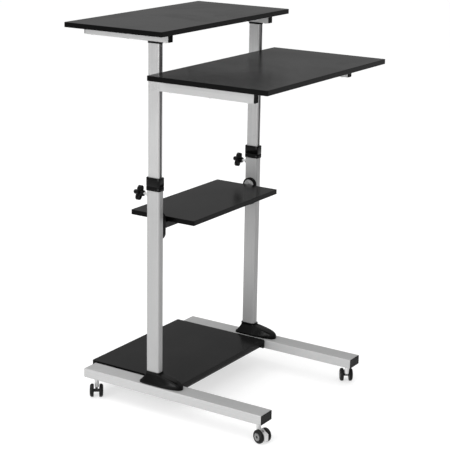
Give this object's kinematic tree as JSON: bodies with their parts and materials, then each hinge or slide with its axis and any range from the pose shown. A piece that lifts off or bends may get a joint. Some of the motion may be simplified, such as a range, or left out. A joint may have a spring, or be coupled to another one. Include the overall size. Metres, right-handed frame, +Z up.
{
  "type": "mobile lectern desk",
  "caption": "Height-adjustable mobile lectern desk: raised rear top, lower front tray, two under-shelves, twin telescopic columns, H base on swivel casters.",
  "frame": {"origin": "centre of the bounding box in plan, on the floor under the casters", "axes": "+Z up, -Y towards the side the front tray stands out from, +X to that side's right as seen from the front"},
  "size_m": [0.7, 0.698, 1.181],
  "materials": {
    "silver_paint": "satin silver-grey powder coat on steel tube",
    "anodised_aluminium": "natural anodised extrusion",
    "black_laminate": "satin black melamine on particle board",
    "black_plastic": "fine-textured moulded plastic",
    "black_steel": "black powder coat",
    "zinc_steel": "bright zinc plate",
    "caster_plastic": "black steel axle with moulded barrel",
    "wheel_black": "black tread, bright hub disc",
    "grey_plastic": "light grey moulded nylon"
  },
  "bodies": {
    "base": {"left_leg": "silver_paint", "right_leg": "silver_paint", "leg_end_caps": "black_plastic", "left_foot_shroud": "black_plastic", "right_foot_shroud": "black_plastic", "left_lower_column": "silver_paint", "right_lower_column": "silver_paint", "left_collar": "black_plastic", "right_collar": "black_plastic", "column_anchor_bolts": "zinc_steel", "bottom_shelf": "black_laminate", "front_cross_beam": "black_steel", "rear_cross_beam": "black_steel", "shelf_screws": "zinc_steel", "frame_bolts": "zinc_steel", "knob_bushes": "zinc_steel", "caster_stems": "zinc_steel", "middle_shelf": "black_laminate", "middle_shelf_beam": "black_steel", "shelf_bracket_covers": "black_plastic", "shelf_bracket_plates": "zinc_steel"},
    "height_carriage": {"left_upper_column": "anodised_aluminium", "right_upper_column": "anodised_aluminium", "column_top_spacers": "black_plastic", "left_top_arm": "silver_paint", "right_top_arm": "silver_paint", "top_arm_caps": "black_plastic", "top_arm_bolts": "zinc_steel", "top_shelf": "black_laminate", "top_shelf_screws": "zinc_steel"},
    "tray_unit": {"front_tray": "black_laminate", "left_tray_arm": "silver_paint", "right_tray_arm": "silver_paint", "tray_arm_caps": "black_plastic", "tray_slide_keys": "zinc_steel", "tray_key_bolts": "zinc_steel", "tray_screws": "zinc_steel"},
    "left_clamp_screw": {"left_knob_stud": "zinc_steel"},
    "right_clamp_screw": {"right_knob_stud": "zinc_steel"},
    "left_clamp_knob": {"left_knob": "black_plastic"},
    "right_clamp_knob": {"right_knob": "black_plastic"},
    "front_left_caster": {"front_left_caster_fork": "grey_plastic", "front_left_caster_axle": "caster_plastic"},
    "front_left_wheel_a_body": {"front_left_wheel_a": "wheel_black"},
    "front_left_wheel_b_body": {"front_left_wheel_b": "wheel_black"},
    "front_left_pedal_body": {"front_left_brake_pedal": "grey_plastic"},
    "front_right_caster": {"front_right_caster_fork": "grey_plastic", "front_right_caster_axle": "caster_plastic"},
    "front_right_wheel_a_body": {"front_right_wheel_a": "wheel_black"},
    "front_right_wheel_b_body": {"front_right_wheel_b": "wheel_black"},
    "front_right_pedal_body": {"front_right_brake_pedal": "grey_plastic"},
    "back_left_caster": {"back_left_caster_fork": "grey_plastic", "back_left_caster_axle": "caster_plastic"},
    "back_left_wheel_a_body": {"back_left_wheel_a": "wheel_black"},
    "back_left_wheel_b_body": {"back_left_wheel_b": "wheel_black"},
    "back_right_caster": {"back_right_caster_fork": "grey_plastic", "back_right_caster_axle": "caster_plastic"},
    "back_right_wheel_a_body": {"back_right_wheel_a": "wheel_black"},
    "back_right_wheel_b_body": {"back_right_wheel_b": "wheel_black"}
  },
  "joints": [
    {"name": "height_slide", "type": "slide", "parent": "base", "child": "height_carriage", "axis": [0, 0, 1], "range_m": [-0.2, 0.08]},
    {"name": "tray_slide", "type": "slide", "parent": "height_carriage", "child": "tray_unit", "axis": [0, 0, 1], "range_m": [-0.05, 0.06]},
    {"name": "left_screw_travel", "type": "slide", "parent": "base", "child": "left_clamp_screw", "axis": [0, 1, 0], "range_m": [0, 0.0025]},
    {"name": "left_knob_turn", "type": "hinge", "parent": "left_clamp_screw", "child": "left_clamp_knob", "pos_m": [-0.2735, 0.12, 0.685], "axis": [0, 1, 0], "range_deg": [0, 720]},
    {"name": "right_screw_travel", "type": "slide", "parent": "base", "child": "right_clamp_screw", "axis": [0, 1, 0], "range_m": [0, 0.0025]},
    {"name": "right_knob_turn", "type": "hinge", "parent": "right_clamp_screw", "child": "right_clamp_knob", "pos_m": [0.2735, 0.12, 0.685], "axis": [0, 1, 0], "range_deg": [0, 720]},
    {"name": "front_left_swivel", "type": "hinge", "parent": "base", "child": "front_left_caster", "pos_m": [-0.2735, -0.3, 0.052], "axis": [0, 0, 1], "continuous": true},
    {"name": "front_left_wheel_a_spin", "type": "hinge", "parent": "front_left_caster", "child": "front_left_wheel_a_body", "pos_m": [-0.27966, -0.31691, 0.021], "axis": [0.9397, -0.342, 0], "continuous": true},
    {"name": "front_left_wheel_b_spin", "type": "hinge", "parent": "front_left_caster", "child": "front_left_wheel_b_body", "pos_m": [-0.27966, -0.31691, 0.021], "axis": [0.9397, -0.342, 0], "continuous": true},
    {"name": "front_left_brake", "type": "hinge", "parent": "front_left_caster", "child": "front_left_pedal_body", "pos_m": [-0.27795, -0.31222, 0.037], "axis": [-0.9397, 0.342, 0], "range_deg": [0, 18]},
    {"name": "front_right_swivel", "type": "hinge", "parent": "base", "child": "front_right_caster", "pos_m": [0.2735, -0.3, 0.052], "axis": [0, 0, 1], "continuous": true},
    {"name": "front_right_wheel_a_spin", "type": "hinge", "parent": "front_right_caster", "child": "front_right_wheel_a_body", "pos_m": [0.28819, -0.2896, 0.021], "axis": [-0.5779, 0.8161, 0], "continuous": true},
    {"name": "front_right_wheel_b_spin", "type": "hinge", "parent": "front_right_caster", "child": "front_right_wheel_b_body", "pos_m": [0.28819, -0.2896, 0.021], "axis": [-0.5779, 0.8161, 0], "continuous": true},
    {"name": "front_right_brake", "type": "hinge", "parent": "front_right_caster", "child": "front_right_pedal_body", "pos_m": [0.28411, -0.29249, 0.037], "axis": [0.5779, -0.8161, 0], "range_deg": [0, 18]},
    {"name": "back_left_swivel", "type": "hinge", "parent": "base", "child": "back_left_caster", "pos_m": [-0.2735, 0.3, 0.052], "axis": [0, 0, 1], "continuous": true},
    {"name": "back_left_wheel_a_spin", "type": "hinge", "parent": "back_left_caster", "child": "back_left_wheel_a_body", "pos_m": [-0.28819, 0.2896, 0.021], "axis": [0.5779, -0.8161, 0], "continuous": true},
    {"name": "back_left_wheel_b_spin", "type": "hinge", "parent": "back_left_caster", "child": "back_left_wheel_b_body", "pos_m": [-0.28819, 0.2896, 0.021], "axis": [0.5779, -0.8161, 0], "continuous": true},
    {"name": "back_right_swivel", "type": "hinge", "parent": "base", "child": "back_right_caster", "pos_m": [0.2735, 0.3, 0.052], "axis": [0, 0, 1], "continuous": true},
    {"name": "back_right_wheel_a_spin", "type": "hinge", "parent": "back_right_caster", "child": "back_right_wheel_a_body", "pos_m": [0.2645, 0.28441, 0.021], "axis": [0.866, -0.5, 0], "continuous": true},
    {"name": "back_right_wheel_b_spin", "type": "hinge", "parent": "back_right_caster", "child": "back_right_wheel_b_body", "pos_m": [0.2645, 0.28441, 0.021], "axis": [0.866, -0.5, 0], "continuous": true}
  ],
  "couplings": [
    {"joint": "left_knob_turn", "follows": "left_screw_travel", "rad_per_m": 5026.5},
    {"joint": "right_knob_turn", "follows": "right_screw_travel", "rad_per_m": 5026.5}
  ]
}
